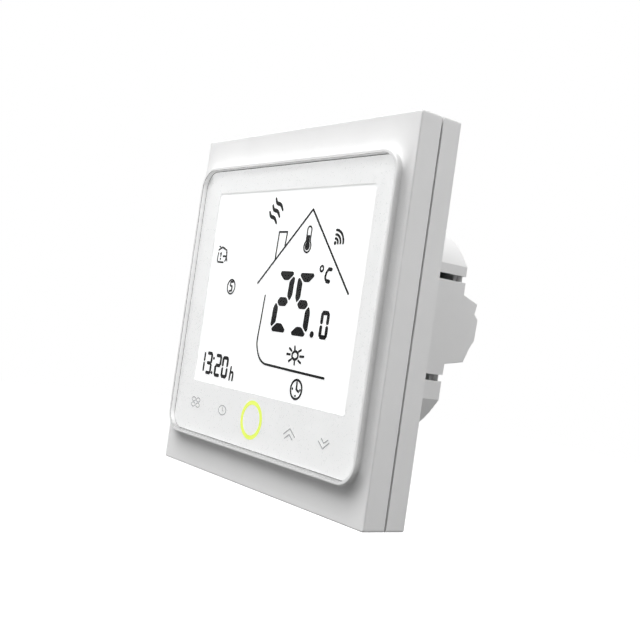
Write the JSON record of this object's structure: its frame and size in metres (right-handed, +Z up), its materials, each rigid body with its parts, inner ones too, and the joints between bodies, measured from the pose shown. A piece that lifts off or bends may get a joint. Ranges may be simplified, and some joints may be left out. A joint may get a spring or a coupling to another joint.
{
  "type": "wall thermostat",
  "caption": "Square flush-mounted wall thermostat: a raised touch display on a pull-off front module, and a round-ended power box with screw terminals that sits in the wall.",
  "frame": {"origin": "midpoint of the two wall-screw slots, in the wall plane (the rear face of the base frame)", "axes": "+X right as seen from the room, +Y into the wall, +Z up; the display faces -Y"},
  "size_m": [0.086, 0.0452, 0.086],
  "materials": {
    "white_plastic": "fine satin",
    "base_plastic": "fine satin",
    "box_plastic": "light spark texture",
    "clear_lens": "polished",
    "glitter_print": "pearl white print with fine silver glitter",
    "tape": "adhesive foam",
    "display_glass": "polished",
    "polarizer": "film",
    "connector_rubber": "striped silicone",
    "light_guide": "dotted acrylic",
    "white_sheet": "film",
    "lamp": "moulded lamp",
    "holder_plastic": "satin",
    "circuit_board": "solder mask",
    "radio_board": "solder mask",
    "chip_plastic": "moulded",
    "tin_can": "tinned",
    "foam": "conductive foam",
    "ring_acrylic": "lit acrylic",
    "sensor": "epoxy bead",
    "header_plastic": "moulded",
    "gold_pin": "plated",
    "screw_steel": "zinc plated",
    "plate_steel": "zinc plated",
    "ferrite": "sintered",
    "coil_tape": "tape wrap",
    "can_sleeve": "shrink sleeve",
    "film_box": "moulded",
    "varistor_blue": "dipped",
    "fuse_body": "moulded",
    "relay_blue": "moulded",
    "relay_black": "moulded",
    "copper_wire": "enamelled",
    "relay_iron": "nickel plated",
    "spring_bronze": "rolled",
    "terminal_nylon": "moulded",
    "tinned_copper": "tinned",
    "clamp_steel": "zinc plated"
  },
  "bodies": {
    "wall_base": {"base_frame": "base_plastic", "mounting_plate": "plate_steel", "plate_screws": "screw_steel", "power_box_shell": "box_plastic", "power_box_lid": "box_plastic", "power_board": "circuit_board", "riser_board": "circuit_board", "socket_header": "header_plastic", "transformer_core": "ferrite", "transformer_coil": "coil_tape", "bulk_capacitors": "can_sleeve", "film_capacitor": "film_box", "varistor": "varistor_blue", "fuse_link": "fuse_body", "relay_case": "relay_blue", "relay_base": "relay_black", "relay_coil": "copper_wire", "relay_yoke": "relay_iron", "relay_fixed_contact": "spring_bronze", "terminal_block": "terminal_nylon", "terminal_busbars": "tinned_copper"},
    "front_module": {"front_frame": "white_plastic", "touch_lens": "clear_lens", "lens_film": "glitter_print", "lens_tape": "tape", "lcd_glass": "display_glass", "lcd_polarizers": "polarizer", "lcd_connector": "connector_rubber", "backlight_diffuser": "white_sheet", "backlight_guide": "light_guide", "backlight_reflector": "white_sheet", "backlight_leds": "lamp", "lcd_holder": "holder_plastic", "control_board": "circuit_board", "main_chip": "chip_plastic", "wifi_board": "radio_board", "wifi_shield": "tin_can", "touch_pads": "foam", "key_light_ring": "ring_acrylic", "key_leds": "lamp", "room_sensor": "sensor", "pin_header": "header_plastic", "plug_pins": "gold_pin", "module_back_cover": "holder_plastic", "cover_screws": "screw_steel"},
    "relay_armature": {"relay_armature": "relay_iron", "relay_contact_spring": "spring_bronze"},
    "terminal_screw_1": {"terminal_screw_1": "screw_steel"},
    "terminal_cage_1": {"terminal_cage_1": "clamp_steel"},
    "terminal_screw_2": {"terminal_screw_2": "screw_steel"},
    "terminal_cage_2": {"terminal_cage_2": "clamp_steel"},
    "terminal_screw_3": {"terminal_screw_3": "screw_steel"},
    "terminal_cage_3": {"terminal_cage_3": "clamp_steel"},
    "terminal_screw_4": {"terminal_screw_4": "screw_steel"},
    "terminal_cage_4": {"terminal_cage_4": "clamp_steel"},
    "terminal_screw_5": {"terminal_screw_5": "screw_steel"},
    "terminal_cage_5": {"terminal_cage_5": "clamp_steel"},
    "terminal_screw_6": {"terminal_screw_6": "screw_steel"},
    "terminal_cage_6": {"terminal_cage_6": "clamp_steel"}
  },
  "joints": [
    {"name": "front_module_lift", "type": "slide", "parent": "wall_base", "child": "front_module", "axis": [0, -1, 0], "range_m": [0, 0.03]},
    {"name": "relay_armature_pull", "type": "hinge", "parent": "wall_base", "child": "relay_armature", "pos_m": [0.0151, 0.0039, -0.009], "axis": [0, 0, -1], "range_deg": [0, 3.6], "stiffness_Nm_per_rad": 0.004},
    {"name": "terminal_screw_1_turn", "type": "hinge", "parent": "wall_base", "child": "terminal_screw_1", "pos_m": [-0.0175, 0.0259, -0.005], "axis": [0, 0, 1], "range_deg": [0, 1800]},
    {"name": "terminal_cage_1_clamp", "type": "slide", "parent": "wall_base", "child": "terminal_cage_1", "axis": [0, 0, -1], "range_m": [0, 0.0025]},
    {"name": "terminal_screw_2_turn", "type": "hinge", "parent": "wall_base", "child": "terminal_screw_2", "pos_m": [-0.0105, 0.0259, -0.005], "axis": [0, 0, 1], "range_deg": [0, 1800]},
    {"name": "terminal_cage_2_clamp", "type": "slide", "parent": "wall_base", "child": "terminal_cage_2", "axis": [0, 0, -1], "range_m": [0, 0.0025]},
    {"name": "terminal_screw_3_turn", "type": "hinge", "parent": "wall_base", "child": "terminal_screw_3", "pos_m": [-0.0035, 0.0259, -0.005], "axis": [0, 0, 1], "range_deg": [0, 1800]},
    {"name": "terminal_cage_3_clamp", "type": "slide", "parent": "wall_base", "child": "terminal_cage_3", "axis": [0, 0, -1], "range_m": [0, 0.0025]},
    {"name": "terminal_screw_4_turn", "type": "hinge", "parent": "wall_base", "child": "terminal_screw_4", "pos_m": [0.0035, 0.0259, -0.005], "axis": [0, 0, 1], "range_deg": [0, 1800]},
    {"name": "terminal_cage_4_clamp", "type": "slide", "parent": "wall_base", "child": "terminal_cage_4", "axis": [0, 0, -1], "range_m": [0, 0.0025]},
    {"name": "terminal_screw_5_turn", "type": "hinge", "parent": "wall_base", "child": "terminal_screw_5", "pos_m": [0.0105, 0.0259, -0.005], "axis": [0, 0, 1], "range_deg": [0, 1800]},
    {"name": "terminal_cage_5_clamp", "type": "slide", "parent": "wall_base", "child": "terminal_cage_5", "axis": [0, 0, -1], "range_m": [0, 0.0025]},
    {"name": "terminal_screw_6_turn", "type": "hinge", "parent": "wall_base", "child": "terminal_screw_6", "pos_m": [0.0175, 0.0259, -0.005], "axis": [0, 0, 1], "range_deg": [0, 1800]},
    {"name": "terminal_cage_6_clamp", "type": "slide", "parent": "wall_base", "child": "terminal_cage_6", "axis": [0, 0, -1], "range_m": [0, 0.0025]}
  ],
  "couplings": [
    {"joint": "terminal_screw_1_turn", "follows": "terminal_cage_1_clamp", "rad_per_m": 12566},
    {"joint": "terminal_screw_2_turn", "follows": "terminal_cage_2_clamp", "rad_per_m": 12566},
    {"joint": "terminal_screw_3_turn", "follows": "terminal_cage_3_clamp", "rad_per_m": 12566},
    {"joint": "terminal_screw_4_turn", "follows": "terminal_cage_4_clamp", "rad_per_m": 12566},
    {"joint": "terminal_screw_5_turn", "follows": "terminal_cage_5_clamp", "rad_per_m": 12566},
    {"joint": "terminal_screw_6_turn", "follows": "terminal_cage_6_clamp", "rad_per_m": 12566}
  ]
}
